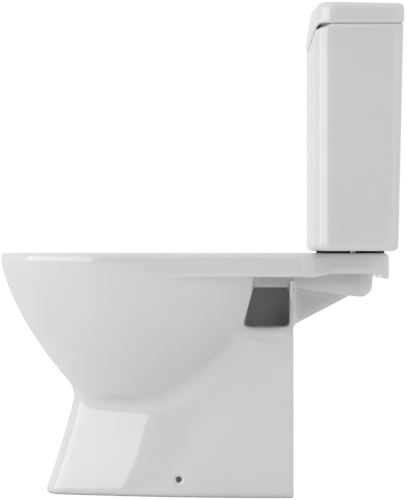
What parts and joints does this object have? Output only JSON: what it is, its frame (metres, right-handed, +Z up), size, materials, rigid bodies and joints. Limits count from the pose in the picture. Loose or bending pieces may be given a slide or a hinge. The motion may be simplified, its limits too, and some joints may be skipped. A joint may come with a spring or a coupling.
{
  "type": "close coupled toilet",
  "caption": "White glazed close coupled toilet: open-backed pan with a deep bowl, narrow shelf and access pockets, boxy cistern with a dipped lid, and working valves inside.",
  "frame": {"origin": "on the floor, under the middle of the object's bounding box", "axes": "+Z up, -Y towards the bowl's nose, +Y towards the wall, +X to the right of someone who faces the wall"},
  "size_m": [0.374, 0.652, 0.7955],
  "materials": {
    "china": "glossy white glaze",
    "foam_rubber": "matte black foam rubber",
    "zinc_steel": "zinc plated",
    "brass": "cast brass",
    "rubber": "matte black rubber",
    "silicone": "soft red silicone",
    "white_plastic": "moulded white plastic",
    "grey_plastic": "moulded grey plastic",
    "blue_plastic": "moulded blue plastic",
    "green_plastic": "moulded green plastic",
    "black_plastic": "moulded black plastic",
    "steel": "plain stainless steel",
    "chrome": "polished chrome plate"
  },
  "bodies": {
    "suite": {"pan": "china", "cistern": "china", "doughnut_seal": "foam_rubber", "coupling_bolts": "zinc_steel", "coupling_washers": "zinc_steel", "wing_nuts": "brass", "coupling_bolt_seals": "rubber", "flush_valve_gasket": "rubber", "fill_valve_washer": "rubber", "inlet_diaphragm": "rubber", "flush_valve_base": "white_plastic", "flush_valve_back_nut": "white_plastic", "valve_tower": "white_plastic", "fill_valve_body": "white_plastic", "fill_valve_back_nut": "white_plastic", "fill_valve_cap": "blue_plastic", "lever_pins": "steel", "float_arm_pin": "steel", "inlet_filter": "steel"},
    "lid": {"cistern_lid": "china", "button_bezel": "chrome", "button_nut": "white_plastic", "full_button_spring": "steel", "half_button_spring": "steel"},
    "full_button": {"full_flush_button": "chrome", "full_push_rod": "grey_plastic"},
    "half_button": {"half_flush_button": "chrome", "half_push_rod": "grey_plastic"},
    "full_lever": {"full_flush_lever": "green_plastic"},
    "half_lever": {"half_flush_lever": "blue_plastic"},
    "flush_spindle": {"overflow_tube": "grey_plastic", "valve_seal": "silicone", "volume_float": "blue_plastic"},
    "half_sleeve": {"half_flush_sleeve": "blue_plastic"},
    "float": {"float_cup": "black_plastic", "float_link": "grey_plastic"},
    "float_lever": {"float_arm": "grey_plastic"}
  },
  "joints": [
    {"name": "lid_lift", "type": "slide", "parent": "suite", "child": "lid", "axis": [0, 0, 1], "range_m": [0, 0.2]},
    {"name": "full_button_press", "type": "slide", "parent": "lid", "child": "full_button", "axis": [0, 0, 1], "range_m": [-0.006, 0], "stiffness_N_per_m": 500, "deforming": ["full_button_spring"]},
    {"name": "half_button_press", "type": "slide", "parent": "lid", "child": "half_button", "axis": [0, 0, 1], "range_m": [-0.006, 0], "stiffness_N_per_m": 500, "deforming": ["half_button_spring"]},
    {"name": "full_lever_rock", "type": "hinge", "parent": "suite", "child": "full_lever", "pos_m": [-0.035, 0.25, 0.7], "axis": [0, 1, 0], "range_deg": [-25.5, 0]},
    {"name": "half_lever_rock", "type": "hinge", "parent": "suite", "child": "half_lever", "pos_m": [0.035, 0.25, 0.664], "axis": [0, 1, 0], "range_deg": [0, 25.5]},
    {"name": "flush_valve_lift", "type": "slide", "parent": "suite", "child": "flush_spindle", "axis": [0, 0, 1], "range_m": [0, 0.0081]},
    {"name": "half_sleeve_lift", "type": "slide", "parent": "suite", "child": "half_sleeve", "axis": [0, 0, 1], "range_m": [0, 0.0081]},
    {"name": "float_drop", "type": "slide", "parent": "suite", "child": "float", "axis": [0, 0, 1], "range_m": [-0.01, 0]},
    {"name": "float_arm_rock", "type": "hinge", "parent": "suite", "child": "float_lever", "pos_m": [-0.117, 0.25, 0.717], "axis": [0, 1, 0], "range_deg": [0, 17]}
  ],
  "couplings": [
    {"joint": "full_lever_rock", "follows": "full_button_press", "rad_per_m": 73.85},
    {"joint": "flush_valve_lift", "follows": "full_button_press", "ratio": -1.3333},
    {"joint": "half_lever_rock", "follows": "half_button_press", "rad_per_m": -73.85},
    {"joint": "half_sleeve_lift", "follows": "half_button_press", "ratio": -1.3333},
    {"joint": "float_arm_rock", "follows": "float_drop", "rad_per_m": -29}
  ]
}
